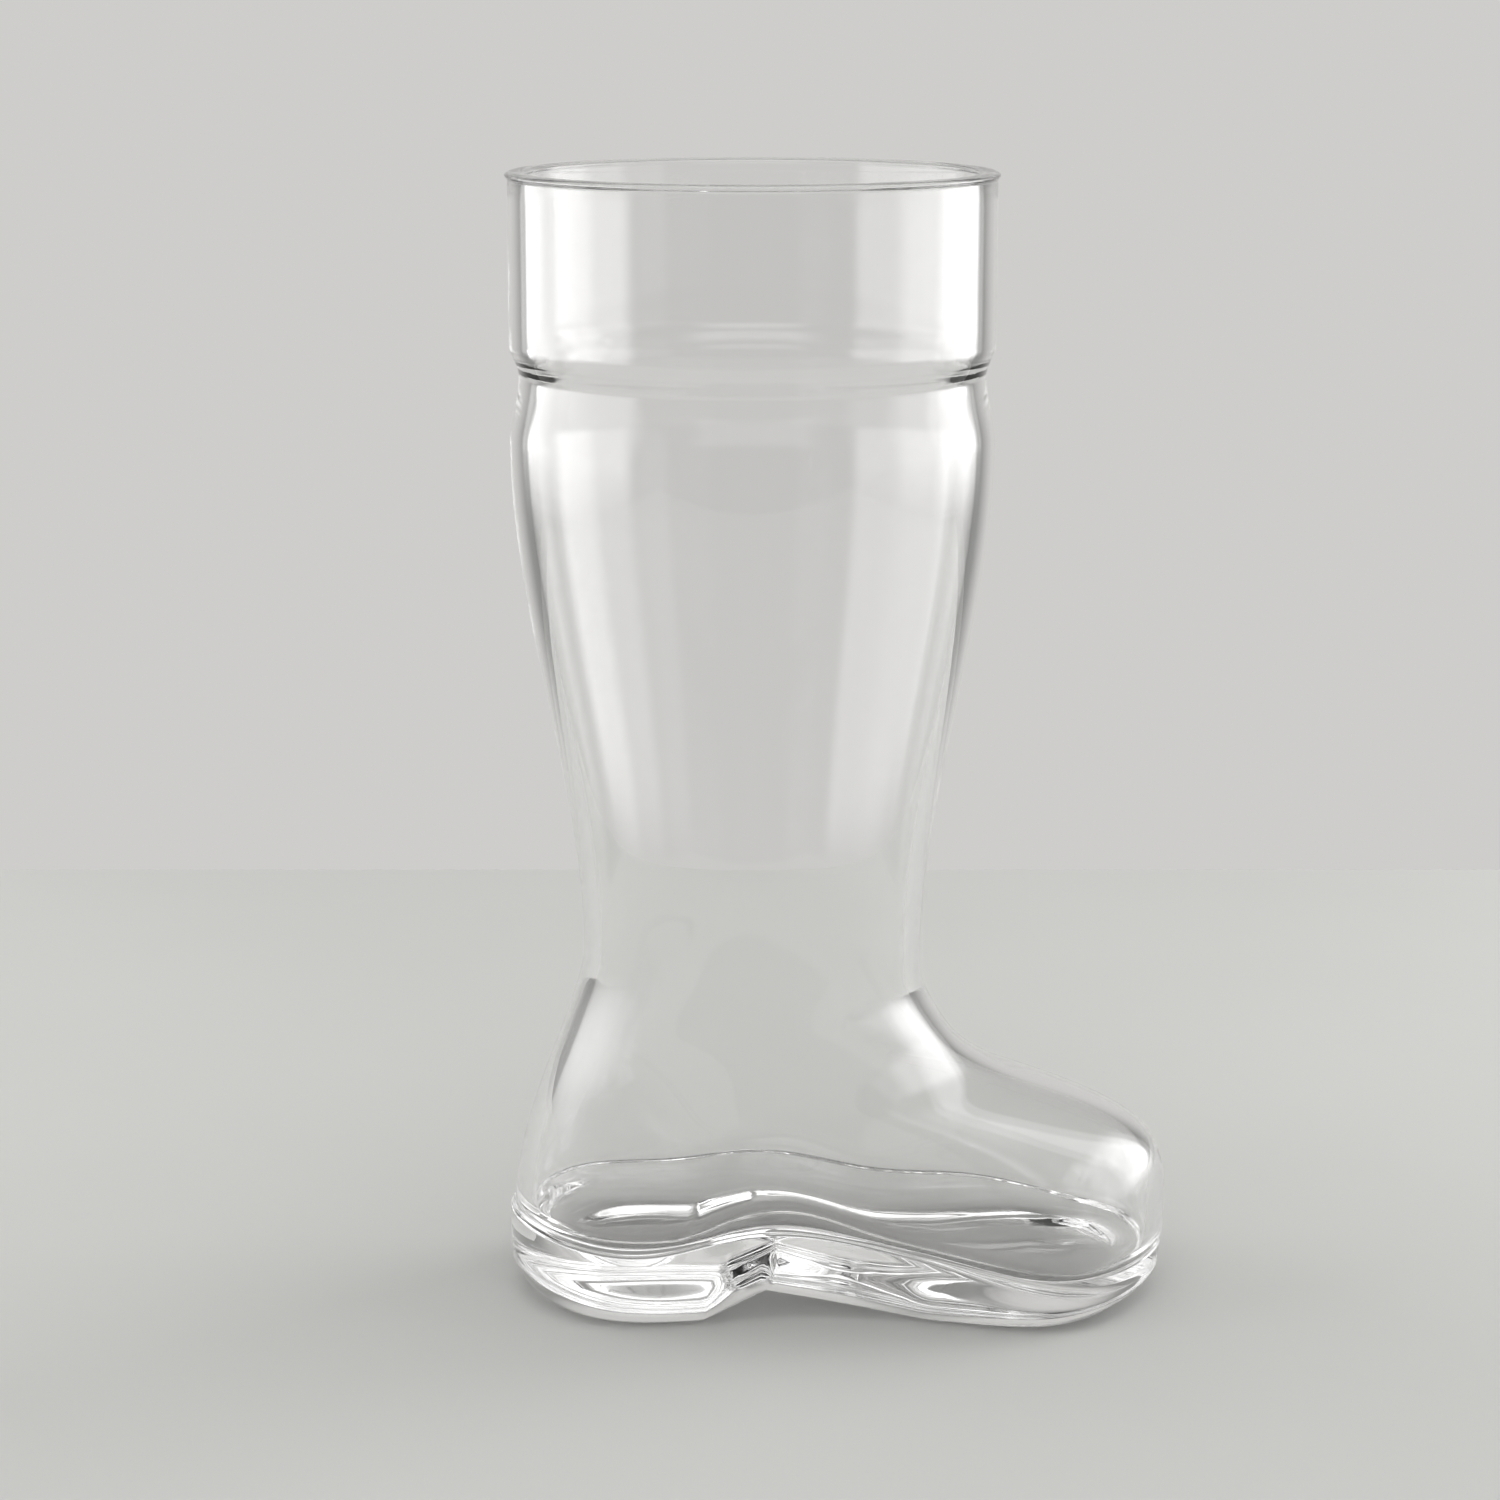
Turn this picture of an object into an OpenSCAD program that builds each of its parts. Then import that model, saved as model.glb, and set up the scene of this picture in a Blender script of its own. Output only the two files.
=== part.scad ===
// A drinking glass shaped like a boot, for half a litre of beer.
// The round mouth opens upwards, the toe points along +X and the sole rests on Z = 0.
// The real glass is one piece. Each module here is one zone of it, and the zones meet
// face to face: the rim, the straight cuff, the leg, the foot and the solid sole.
// Heights are measured from the table, and lengths along the foot from the leg's axis.

/* [Mouth] */
// Height of the glass from the table to the top of the rim
glass_h = 200; // [190:1:240]
// Outer diameter of the straight cuff round the mouth
cuff_d = 83.8; // [76:0.2:92]
// Distance by which the rounded bead on top of the cuff stands out past it
rim_lip = 0.45; // [0.2:0.05:1.5]
// Height of the bead
rim_h = 1.5; // [1.2:0.1:4]
// Height of the rounding on top of the bead
rim_round_h = 0.7; // [0.5:0.1:1.1]
// Height of the cuff, from the groove under it to the top of the rim
cuff_h = 35; // [20:1:45]
// Height over which the cuff swells out above the groove
cuff_foot_h = 5.8; // [3:0.2:10]
// Thickness of the glass in every wall above the sole
wall = 3.1; // [2.4:0.1:3.6]

/* [Leg] */
// Depth of the groove under the cuff
groove_depth = 1.6; // [0.6:0.1:2.6]
// Extra thickness of the wall inside the groove, as a soft ring of glass
groove_ring_w = 0.5; // [0:0.1:1.2]
// Distance by which the calf, where it is widest, stands out past the cuff
calf_lip = 0.05; // [-1:0.05:2]
// Height from the widest part of the calf up to the groove
shoulder_h = 11.5; // [8:0.5:20]
// Outer diameter at the ankle, the narrowest part
ankle_d = 60; // [54:0.5:66]
// Height of the ankle, where the round leg ends and the foot begins
ankle_h = 63; // [58:0.5:72]

/* [Foot] */
// Reach of the heel behind the leg's axis
heel_reach = 42.9; // [40.9:0.5:49.9]
// Reach of the toe in front of the leg's axis
toe_reach = 74.5; // [68:0.5:84]
// Width of the foot across the heel
heel_w = 51; // [46:0.2:56]
// Width of the foot across the arch
arch_w = 43.6; // [41:0.2:48]
// Width of the foot across the ball
ball_w = 53.6; // [48:0.2:58]
// Radius of the toe's round end, seen from above
toe_round_r = 24.8; // [21:0.2:27]
// Height at which the foot has its full width
full_width_h = 8.4; // [4:0.2:14]

/* [Sole] */
// Height of the seam between foot and sole at the arch, where it is highest
arch_seam_h = 16.9; // [15:0.1:19]
// Height of that seam at the toe, where it is lowest
toe_seam_h = 6; // [5:0.1:8]
// Distance by which the sole stands out past the foot at the heel
sole_lip = 0.9; // [0.4:0.1:1.5]
// Inward reach of the rounded lower edge of the sole at its sides
side_edge_w = 4.4; // [3:0.1:7]
// Inward reach of that edge at the heel and at the toe
end_edge_w = 7; // [3:0.1:8]
// Height of the rounded lower edge of the sole
edge_h = 8.4; // [4:0.1:10]
// Place of the front edge of the heel's tread, behind the leg's axis
breast_x = -8.1; // [-12:0.1:-6]
// Place of the crease at the top of the hollow under the arch
crease_x = 2.8; // [0:0.1:6]
// Height of that crease above the table
crease_h = 4.9; // [3:0.1:8]
// Place where the ball of the foot comes down to the table
ball_x = 31; // [26:0.5:42]
// Place where the sole begins to rise again towards the toe
spring_x = 50; // [44:0.5:56]
// Height of the underside above the table at the tip of the toe
spring_h = 3.2; // [1:0.1:4.4]

/* [Inside] */
// Height of the inner floor over the arch, where it is highest
arch_floor_h = 14.2; // [13:0.1:18]
// Height of the inner floor at the toe, where it is lowest
toe_floor_h = 5.5; // [5:0.1:8]
// Height over which the inner wall rounds into the floor at the arch
arch_round_h = 10; // [7:0.1:12]
// Height of that rounding at the toe
toe_round_h = 5.5; // [4:0.1:8]

/* [Hidden] */
glass_tint = [0.82, 0.86, 0.88, 0.45];

cuff_r = cuff_d / 2;
rim_r = cuff_r + rim_lip;
groove_r = cuff_r - groove_depth;
calf_r = cuff_r + calf_lip;
ankle_r = ankle_d / 2;
mouth_r = cuff_r - wall;
rim_base_z = glass_h - rim_h;
groove_z = glass_h - cuff_h;
cuff_z = groove_z + cuff_foot_h;
calf_z = groove_z - shoulder_h;
foot_length = heel_reach + toe_reach;
// The leg's axis stands where the sole's lip and the toe reach equally far from X = 0
leg_x = (heel_reach + sole_lip - toe_reach) / 2;

// Steps of the meshed shapes: places round a slice, rows down the foot, rows of a rounding
round_steps = 72;
foot_rows = 20;
edge_rows = 6;
curve_steps = 24;
rim_steps = 16;
// Small step, in degrees and millimetres, for the slope of the foot's surface
probe = 0.05;

// Where the stations along the foot lie, as shares of its half length from its middle
heel_share = -0.57;
arch_share = -0.26;
ball_share = 0.46;
station_shares = [-1, heel_share, arch_share, ball_share, 1];

// The back of the heel: how much of its height the lean takes, and how hollow the lean is
heel_lean_share = 0.78;
heel_hollow_power = 1.43;

// The line over instep and toe: [height as a share of the ankle's, reach as a share]
toe_line_shares = [
    [0.000, 0.957], [0.103, 0.980], [0.195, 0.996], [0.270, 1.000], [0.343, 0.994],
    [0.419, 0.963], [0.487, 0.880], [0.541, 0.746], [0.595, 0.555], [0.633, 0.400],
    [0.678, 0.262], [0.724, 0.168], [0.800, 0.083], [0.857, 0.037], [0.920, 0.005],
    [1.000, 0.000]
];

// The rounded back of the foot narrows at this height above the toe cap, and more over
// the tip than over the ball; it fades out over these heights above and below
vamp_share = 0.635;
vamp_tip_share = 0.58;
vamp_side_share = 0.11;
vamp_above_share = 0.26;
vamp_below_share = 0.34;

// The seam: [place as a share of the half length, height between toe_seam_h and arch_seam_h]
seam_shares = [
    [-1.00, 0.88], [-0.57, 0.75], [-0.26, 1.00], [0.03, 0.82], [0.37, 0.47],
    [0.53, 0.27], [0.69, 0.10], [0.87, 0.00], [1.00, 0.02]
];

// The inner floor: [place as a share of the foot's length, share of the way from the toe's
// height to the arch's], and the height of its rounding goes by the same shares
floor_shares = [
    [0.00, 0.60], [0.10, 0.55], [0.20, 0.55], [0.27, 0.64], [0.34, 0.90], [0.40, 1.00],
    [0.46, 0.89], [0.54, 0.60], [0.64, 0.38], [0.75, 0.17], [0.86, 0.00], [1.00, 0.08]
];
// Squareness of the inner floor's rounding: 2 is an ellipse, more is squarer
floor_power = 2.6;
// The floor's rounding stops short of its middle line by this share of the width
floor_flat_share = 0.2;

// Hollowness of the long slope from the crease down to the ball: 1 is straight
ramp_power = 1.35;
// The lip along the sole: it fades out over this share of the half length at the toe
lip_fade_share = 0.6;
// Height of the small step on top of the lip
lip_step_h = 0.3;
// The rounded lower edge takes up at most this share of the sole's height
edge_limit_share = 0.8;

// The rows down the foot crowd together where the instep is flattest
crowd_share = 0.6;
crowd_place_share = 0.42;

// A soft rise from 0 to 1 as u goes from 0 to 1
function ease(u) = let (c = max(0, min(1, u))) c * c * (3 - 2 * c);
function mix(a, b, share) = a + (b - a) * share;

// A smooth curve through the points of a table, level at both ends
function knot(table, v, i = 0) =
    i >= len(table) - 2 || v <= table[i + 1][0] ? i : knot(table, v, i + 1);
function slope(table, i) =
    i == 0 || i == len(table) - 1 ? 0
    : (table[i + 1][1] - table[i - 1][1]) / (table[i + 1][0] - table[i - 1][0]);
function follow(table, v) =
    let (
        i = knot(table, v),
        run = table[i + 1][0] - table[i][0],
        s = max(0, min(1, (v - table[i][0]) / run)),
        start = table[i][1],
        end = table[i + 1][1],
        rise_start = slope(table, i) * run,
        rise_end = slope(table, i + 1) * run
    )
    start + s * (rise_start + s * (3 * (end - start) - 2 * rise_start - rise_end
        + s * (rise_start + rise_end - 2 * (end - start))));

// Outer radius of the round part at height z, or that less a ring inside the groove
function round_r(z, ring_w = 0) =
    z > groove_z ? mix(groove_r - ring_w, cuff_r, ease((z - groove_z) / cuff_foot_h))
    : z > calf_z ? mix(calf_r, groove_r - ring_w, ease((z - calf_z) / shoulder_h))
    : mix(ankle_r, calf_r, ease((z - ankle_h) / (calf_z - ankle_h)));
function steps(from, to, count) = [for (i = [0 : count]) mix(from, to, i / count)];

// A band of the round wall between the heights of a list, as a half section
function band(heights) = concat(
    [for (z = heights) [round_r(z), z]],
    [for (i = [len(heights) - 1 : -1 : 0]) [round_r(heights[i], groove_ring_w) - wall, heights[i]]]
);

// How far down the foot a height is: 0 at the ankle and 1 where it has its full width
function depth_share(z) = ease((ankle_h - z) / (ankle_h - full_width_h));
// How much the top of the foot narrows at height z
function vamp_pinch(z) =
    let (off = z / ankle_h - vamp_share)
    ease(1 - abs(off) / (off > 0 ? vamp_above_share : vamp_below_share));

// Reach of the heel and of the toe line at height z
function heel_line(z) =
    let (lean = max(0, min(1, (1 - z / ankle_h) / heel_lean_share)))
    mix(ankle_r, heel_reach, pow(sin(90 * lean), heel_hollow_power));
function toe_line(z) = mix(ankle_r, toe_reach, follow(toe_line_shares, z / ankle_h));
function slice_mid(z) = (toe_line(z) - heel_line(z)) / 2;
function slice_half(z) = (toe_line(z) + heel_line(z)) / 2;

// Breadth of a horizontal slice at each station, before its ends are rounded off
function station_breadth(width, share) = width / 2 / sqrt(1 - share * share);
function breadths(z) =
    let (depth = depth_share(z), pinch = vamp_pinch(z))
    [
        sqrt(mix(ankle_r, heel_w / 2, depth) * slice_half(z)),
        mix(ankle_r, station_breadth(heel_w, heel_share), depth),
        mix(ankle_r, station_breadth(arch_w, arch_share), depth),
        mix(ankle_r, station_breadth(ball_w, ball_share), depth) * (1 - vamp_side_share * pinch),
        sqrt(mix(ankle_r, toe_round_r, depth) * (1 - vamp_tip_share * pinch) * slice_half(z))
    ];

// Weight of station k at place u, so that the breadth passes through every station
function weight(k, u, j = 0) =
    j == len(station_shares) ? 1
    : (j == k ? 1 : (u - station_shares[j]) / (station_shares[k] - station_shares[j]))
        * weight(k, u, j + 1);

// The foot's outer surface at angle t round the slice at height z: t is 0 at the toe
function surface_point(t, z) =
    let (b = breadths(z), u = cos(t))
    [
        slice_mid(z) + slice_half(z) * u,
        sin(t) * (b * [for (k = [0 : len(b) - 1]) weight(k, u)]),
        z
    ];
function unit(v) = v / norm(v);
function normal(t, z) = unit(cross(
    surface_point(t + probe, z) - surface_point(t - probe, z),
    surface_point(t, z + probe) - surface_point(t, z - probe)
));
function flat_normal(t, z) =
    let (along = surface_point(t + probe, z) - surface_point(t - probe, z))
    unit([along[1], -along[0], 0]);
// At the ankle the inner surface is the leg's own, and below it follows the normal
function inner_point(t, z) = surface_point(t, z) - wall * (
    z >= ankle_h ? flat_normal(t, z) : normal(t, z)
);

// Height of the seam, of the inner floor, and of the inner wall's foot, where the floor begins
function seam_z(t) = mix(toe_seam_h, arch_seam_h, follow(seam_shares, cos(t)));
function floor_share(x) = follow(floor_shares, (x + heel_reach) / foot_length);
function floor_z(x) = mix(toe_floor_h, arch_floor_h, floor_share(x));
function inner_seam_z(t) =
    let (x = inner_point(t, arch_floor_h)[0])
    floor_z(x) + mix(toe_round_h, arch_round_h, floor_share(x));

// Height of the underside: level under the heel, up the heel's front face to the crease,
// down again to the ball, level there and rising a little to the toe
function under_z(x) =
    x < breast_x ? 0
    : x < crease_x ? mix(0, crease_h, (x - breast_x) / (crease_x - breast_x))
    : x < ball_x ? crease_h * pow((ball_x - x) / (ball_x - crease_x), ramp_power)
    : x < spring_x ? 0
    : spring_h * pow((x - spring_x) / (toe_reach - spring_x), 2);

// Angles round a slice, with one of them at the crease and one at the heel's front face
function angle_at(x) = acos((x - slice_mid(arch_seam_h)) / slice_half(arch_seam_h));
crease_steps = round(round_steps / 2 * angle_at(crease_x) / 180);
breast_steps = max(1, round(round_steps / 2 * (angle_at(breast_x) - angle_at(crease_x)) / 180));
rear_steps = round_steps / 2 - crease_steps - breast_steps;
half_angles = concat(
    [for (i = [0 : crease_steps - 1]) angle_at(crease_x) * i / crease_steps],
    [for (i = [0 : breast_steps - 1]) mix(angle_at(crease_x), angle_at(breast_x), i / breast_steps)],
    [for (i = [0 : rear_steps - 1]) mix(angle_at(breast_x), 180, i / rear_steps)]
);
angles = concat(
    half_angles,
    [180],
    [for (i = [len(half_angles) - 1 : -1 : 1]) 360 - half_angles[i]]
);

// Share of the way down the foot for row q, from 0 to 1
function row_share(q) = q - crowd_share / (2 * PI)
    * (sin(360 * (q - crowd_place_share)) + sin(360 * crowd_place_share));

function outer_rows() = [
    for (row = [0 : foot_rows])
        [for (t = angles) surface_point(t, mix(ankle_h, seam_z(t), row_share(row / foot_rows)))]
];
function inner_rows() = [
    for (row = [0 : foot_rows])
        [for (t = angles) inner_point(t, mix(ankle_h, inner_seam_z(t), row_share(row / foot_rows)))]
];

// The sole's side: out over the lip, down, and round into the underside
function lip_reach(t) = sole_lip * ease((1 - cos(t)) / lip_fade_share);
function side_point(t, out, z) =
    let (base = surface_point(t, seam_z(t)) + flat_normal(t, seam_z(t)) * out)
    [base[0], base[1], z];
function sole_under_z(t) = under_z(surface_point(t, seam_z(t))[0]);
function sole_edge_h(t) = min(edge_h, edge_limit_share * (seam_z(t) - sole_under_z(t)));
function sole_edge_w(t) = mix(side_edge_w, end_edge_w, pow(cos(t), 2));
function edge_row(turn) = [
    for (t = angles)
        side_point(t, lip_reach(t) - sole_edge_w(t) * (1 - cos(turn)),
            sole_under_z(t) + sole_edge_h(t) * (1 - sin(turn)))
];
function sole_rows() = concat(
    [[for (t = angles) side_point(t, lip_reach(t) / 2, seam_z(t) - lip_step_h / 2)]],
    [for (i = [0 : edge_rows]) edge_row(90 * i / edge_rows)]
);

// The inner floor: the wall's plan drawn in towards the foot's middle line
function floor_point(t, turn) =
    let (
        top = inner_seam_z(t),
        wide = pow(cos(turn), 2 / floor_power),
        drop = pow(sin(turn), 2 / floor_power),
        middle_x = slice_mid(top) + (slice_half(top) - toe_round_r) * cos(t),
        first = inner_point(t, top),
        base_z = floor_z(mix(middle_x, first[0], wide)),
        z = mix(top, base_z, drop),
        skin = inner_point(t, z)
    )
    [mix(middle_x, skin[0], wide), skin[1] * wide, z];
floor_stop = acos(pow(floor_flat_share, floor_power / 2));
function floor_rows() = [
    for (i = [edge_rows : -1 : 1]) [for (t = angles) floor_point(t, floor_stop * i / edge_rows)]
];

// Triangles between two neighbouring rows, and across the first or last row of a body
// whose left and right halves mirror each other
function between(a, b, n) = [
    for (j = [0 : n - 1], side = [0, 1])
        side == 0 ? [a * n + j, a * n + (j + 1) % n, b * n + j]
        : [a * n + (j + 1) % n, b * n + (j + 1) % n, b * n + j]
];
function across(a, n, flip) = [
    for (j = [0 : n / 2 - 1], side = [0, 1])
        let (
            corners = side == 0 ? [j, j + 1, (n - j) % n] : [j + 1, n - j - 1, (n - j) % n],
            turned = flip ? [corners[0], corners[2], corners[1]] : corners
        )
        if (turned[0] != turned[1] && turned[1] != turned[2] && turned[0] != turned[2])
            [for (corner = turned) a * n + corner]
];
function flatten(rows) = [for (row = rows) each row];

// A ring-shaped body whose last row joins its first
module ring_body(rows) {
    count = len(rows);
    polyhedron(flatten(rows), [for (i = [0 : count - 1]) each between(i, (i + 1) % count, len(rows[0]))]);
}

// A closed body whose first and last rows are filled straight across
module capped_body(rows) {
    count = len(rows);
    n = len(rows[0]);
    polyhedron(flatten(rows), concat(
        [for (i = [0 : count - 2]) each between(i, i + 1, n)],
        across(0, n, true),
        across(count - 1, n, false)
    ));
}

// The rounded bead round the mouth
module rim() {
    bead_half_w = (rim_r - mouth_r) / 2;
    bead_z = glass_h - rim_round_h;
    color(glass_tint)
    translate([leg_x, 0, 0])
    rotate_extrude($fn = 128)
    polygon(concat(
        [[mouth_r, rim_base_z]],
        [for (i = [0 : rim_steps])
            [mix(cuff_r, rim_r, ease(i / rim_steps)), mix(rim_base_z, bead_z, i / rim_steps)]],
        [for (i = [1 : rim_steps])
            [mouth_r + bead_half_w * (1 + cos(180 * i / rim_steps)),
                bead_z + rim_round_h * sin(180 * i / rim_steps)]]
    ));
}

// The straight band round the mouth: its inner wall is a true cylinder above its foot
module cuff() {
    color(glass_tint)
    translate([leg_x, 0, 0])
    rotate_extrude($fn = 128)
    polygon(band(concat(steps(groove_z, cuff_z, rim_steps), [rim_base_z])));
}

// The round leg, from the ankle over the calf to the groove
module leg() {
    color(glass_tint)
    translate([leg_x, 0, 0])
    rotate_extrude($fn = 128)
    polygon(band(concat(
        steps(ankle_h, calf_z, curve_steps),
        [for (z = steps(calf_z, groove_z, rim_steps)) if (z > calf_z) z]
    )));
}

// The hollow foot, from the ankle down to the seam
module foot() {
    inner = inner_rows();
    color(glass_tint)
    translate([leg_x, 0, 0])
    ring_body(concat(outer_rows(), [for (i = [foot_rows : -1 : 0]) inner[i]]));
}

// The solid sole, with the inner floor on top and the hollow under its arch
module sole() {
    top = [
        [for (t = angles) inner_point(t, inner_seam_z(t))],
        [for (t = angles) surface_point(t, seam_z(t))]
    ];
    color(glass_tint)
    translate([leg_x, 0, 0])
    capped_body(concat(floor_rows(), top, sole_rows()));
}

rim();
cuff();
leg();
foot();
sole();
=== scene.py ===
"""A clear glass boot for beer: one closed surface of glass round its solids, in a plain studio."""

import logging
import math
from dataclasses import dataclass, field
from enum import Enum

import bpy
import numpy as np
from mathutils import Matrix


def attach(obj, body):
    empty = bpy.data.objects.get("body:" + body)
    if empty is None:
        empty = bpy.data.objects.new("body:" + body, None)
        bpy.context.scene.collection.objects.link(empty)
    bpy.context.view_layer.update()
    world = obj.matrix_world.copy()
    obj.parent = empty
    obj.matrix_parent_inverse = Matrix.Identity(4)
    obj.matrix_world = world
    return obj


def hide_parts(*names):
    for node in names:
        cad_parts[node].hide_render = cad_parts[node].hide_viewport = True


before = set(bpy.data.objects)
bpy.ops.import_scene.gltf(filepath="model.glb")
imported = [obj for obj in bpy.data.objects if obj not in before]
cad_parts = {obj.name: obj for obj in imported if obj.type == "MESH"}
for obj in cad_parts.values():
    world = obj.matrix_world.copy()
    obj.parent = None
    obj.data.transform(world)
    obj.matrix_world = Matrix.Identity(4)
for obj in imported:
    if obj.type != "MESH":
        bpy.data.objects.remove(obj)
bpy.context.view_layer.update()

Array = np.ndarray
LOG = logging.getLogger("boot_glass")
MM = 0.001


# Curves and colours -------------------------------------------------------------------


def ease(u: Array) -> Array:
    """A soft rise from 0 to 1: the square of u times three less twice u, held at both ends."""
    c = np.clip(u, 0.0, 1.0)
    return c * c * (3.0 - 2.0 * c)


def mix(a: Array, b: Array, share: Array) -> Array:
    """The value that lies at a share of the way from a to b."""
    return a + (b - a) * share


def linear(hex_colour: str, alpha: float = 1.0) -> tuple[float, float, float, float]:
    """Turn an sRGB colour into the linear values that a shader's socket takes.

    Args:
        hex_colour: Six hex digits, such as "f4f7f6".
        alpha: The fourth value of the socket.

    Returns:
        Red, green, blue and alpha.
    """
    srgb = np.array([int(hex_colour[i : i + 2], 16) / 255.0 for i in (0, 2, 4)])
    rgb = np.where(srgb <= 0.04045, srgb / 12.92, ((srgb + 0.055) / 1.055) ** 2.4)
    return (*(float(v) for v in rgb), alpha)


@dataclass(frozen=True)
class Guide:
    """A smooth line through the points of a table, level at both ends."""

    points: tuple[tuple[float, float], ...]

    def __call__(self, at: Array) -> Array:
        """Follow the line.

        Between two points the height is a cubic. The cubics share their height, slope and
        bend where they meet, which gives one equation per point for the slopes there, and
        the two end slopes are zero.

        Args:
            at: Places along the table's first column.

        Returns:
            The heights there, held at the end values outside the table.
        """
        places, values = np.array(self.points, float).T
        run, rise = np.diff(places), np.diff(values)
        count = len(places)
        system = np.eye(count)
        inner = np.arange(1, count - 1)
        system[inner, inner - 1] = 1.0 / run[:-1]
        system[inner, inner] = 2.0 / run[:-1] + 2.0 / run[1:]
        system[inner, inner + 1] = 1.0 / run[1:]
        wanted = np.zeros(count)
        wanted[inner] = 3.0 * (rise[:-1] / run[:-1] ** 2 + rise[1:] / run[1:] ** 2)
        slopes = np.linalg.solve(system, wanted)
        x = np.clip(np.asarray(at, float), places[0], places[-1])
        k = np.clip(np.searchsorted(places, x, side="right") - 1, 0, count - 2)
        s = (x - places[k]) / run[k]
        start, end = slopes[k] * run[k], slopes[k + 1] * run[k]
        return values[k] + s * (
            start + s * (3.0 * rise[k] - 2.0 * start - end + s * (start + end - 2.0 * rise[k]))
        )


# The glass's zones --------------------------------------------------------------------


class Skin(Enum):
    """The two skins of the hollow glass."""

    OUTER = "outer"
    INNER = "inner"


@dataclass
class Mouth:
    """The rounded bead and the straight cuff under it, in millimetres."""

    glass_h: float = 200.0
    cuff_d: float = 83.8
    rim_lip: float = 0.45
    rim_h: float = 1.5
    rim_round_h: float = 0.7
    cuff_h: float = 35.0
    cuff_foot_h: float = 5.8
    wall: float = 3.1
    bead_rows: int = 20
    flare_rows: int = 5
    cuff_rows: int = 8
    foot_rows: int = 14

    @property
    def cuff_r(self) -> float:
        """Outer radius of the cuff."""
        return self.cuff_d / 2

    @property
    def mouth_r(self) -> float:
        """Radius of the opening."""
        return self.cuff_r - self.wall

    @property
    def groove_z(self) -> float:
        """Height of the groove under the cuff."""
        return self.glass_h - self.cuff_h

    def foot_profile(self, groove_r: float, skin: Skin) -> Array:
        """Radius and height up the swelling above the groove.

        The radius goes from the groove's to the cuff's by the soft rise of the height, and
        the inner skin has one wall less.

        Args:
            groove_r: Radius in the groove, for this skin, before its wall is taken off.
            skin: The skin that is wanted.

        Returns:
            Rows of radius and height, from the groove up, without the groove itself.
        """
        share = np.arange(1, self.foot_rows + 1) / self.foot_rows
        radius = mix(groove_r, self.cuff_r, ease(share))
        if skin is Skin.INNER:
            radius = radius - self.wall
        return np.column_stack([radius, self.groove_z + self.cuff_foot_h * share])

    def bead_profile(self) -> Array:
        """Radius and height up the cuff's outside, over the bead and down the inside.

        The bead flares out by the soft rise of the height, and its top is half an ellipse
        from the outer edge to the opening.

        Returns:
            Rows of radius and height in the order of the surface.
        """
        low = self.groove_z + self.cuff_foot_h
        base, brow = self.glass_h - self.rim_h, self.glass_h - self.rim_round_h
        rim_r = self.cuff_r + self.rim_lip
        straight = np.linspace(low, base, self.cuff_rows + 1)[1:]
        flare = np.arange(1, self.flare_rows + 1) / self.flare_rows
        turn = math.pi * np.arange(1, self.bead_rows + 1) / self.bead_rows
        half = (rim_r - self.mouth_r) / 2
        inside = np.linspace(brow, low, self.cuff_rows + 3)[1:-1]
        return np.concatenate(
            [
                np.column_stack([np.full_like(straight, self.cuff_r), straight]),
                np.column_stack([mix(self.cuff_r, rim_r, ease(flare)), mix(base, brow, flare)]),
                np.column_stack(
                    [self.mouth_r + half * (1 + np.cos(turn)), brow + self.rim_round_h * np.sin(turn)]
                ),
                np.column_stack([np.full_like(inside, self.mouth_r), inside]),
            ]
        )


@dataclass
class Leg:
    """The round leg from the ankle over the calf to the groove, in millimetres."""

    mouth: Mouth
    groove_depth: float = 1.6
    groove_ring_w: float = 0.5
    calf_lip: float = 0.05
    shoulder_h: float = 11.5
    ankle_d: float = 60.0
    ankle_h: float = 63.0
    calf_rows: int = 44
    shoulder_rows: int = 16

    def groove_r(self, skin: Skin) -> float:
        """Radius in the groove before the wall is taken off, less a ring of glass inside it."""
        ring_w = self.groove_ring_w if skin is Skin.INNER else 0.0
        return self.mouth.cuff_r - self.groove_depth - ring_w

    def profile(self, skin: Skin) -> Array:
        """Radius and height from just above the ankle to the groove.

        Two soft rises follow each other: from the ankle's radius to the calf's, and from the
        calf's back to the groove's. The inner skin lies one wall inside.

        Args:
            skin: The skin that is wanted.

        Returns:
            Rows of radius and height, from the bottom up.
        """
        calf_z = self.mouth.groove_z - self.shoulder_h
        calf_r = self.mouth.cuff_r + self.calf_lip
        low = np.arange(1, self.calf_rows + 1) / self.calf_rows
        high = np.arange(1, self.shoulder_rows + 1) / self.shoulder_rows
        radius = np.concatenate(
            [mix(self.ankle_d / 2, calf_r, ease(low)), mix(calf_r, self.groove_r(skin), ease(high))]
        )
        height = np.concatenate(
            [mix(self.ankle_h, calf_z, low), mix(calf_z, self.mouth.groove_z, high)]
        )
        if skin is Skin.INNER:
            radius = radius - self.mouth.wall
        return np.column_stack([radius, height])


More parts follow.
